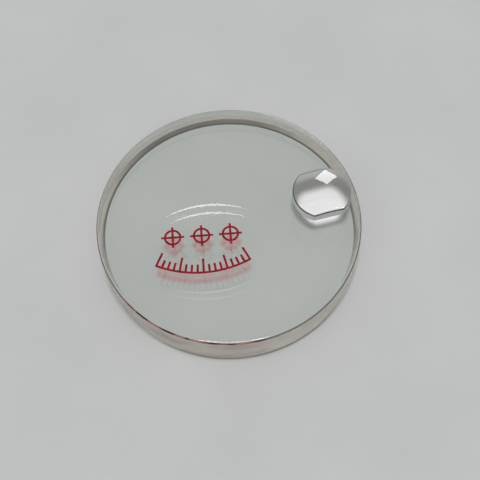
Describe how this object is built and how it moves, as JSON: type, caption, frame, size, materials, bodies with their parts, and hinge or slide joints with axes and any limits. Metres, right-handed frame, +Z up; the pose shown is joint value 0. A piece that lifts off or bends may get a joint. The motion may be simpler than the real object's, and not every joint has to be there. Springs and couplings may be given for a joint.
{
  "type": "watch crystal",
  "caption": "Thick flat round clear watch crystal with a bevelled rim and a domed date lens bonded near its edge, carrying a red wipe-off ink print.",
  "frame": {"origin": "centre of the plate's flat underside, on the plate's axis", "axes": "+Z up through the plate towards the face that carries the date lens; +X towards the date lens (three o'clock); +Y towards twelve o'clock"},
  "size_m": [0.0315, 0.0314, 0.0067],
  "materials": {
    "clear_crystal": "polished, clear, faint green-grey cast",
    "lens_crystal": "polished, clear",
    "clear_adhesive": "cured clear film",
    "red_ink": "semi-matte wipe-off ink"
  },
  "bodies": {
    "root": {"crystal_plate": "clear_crystal", "date_lens": "lens_crystal", "lens_adhesive_film": "clear_adhesive", "register_mark_1": "red_ink", "register_mark_2": "red_ink", "register_mark_3": "red_ink", "arc_scale_print": "red_ink"}
  },
  "joints": []
}
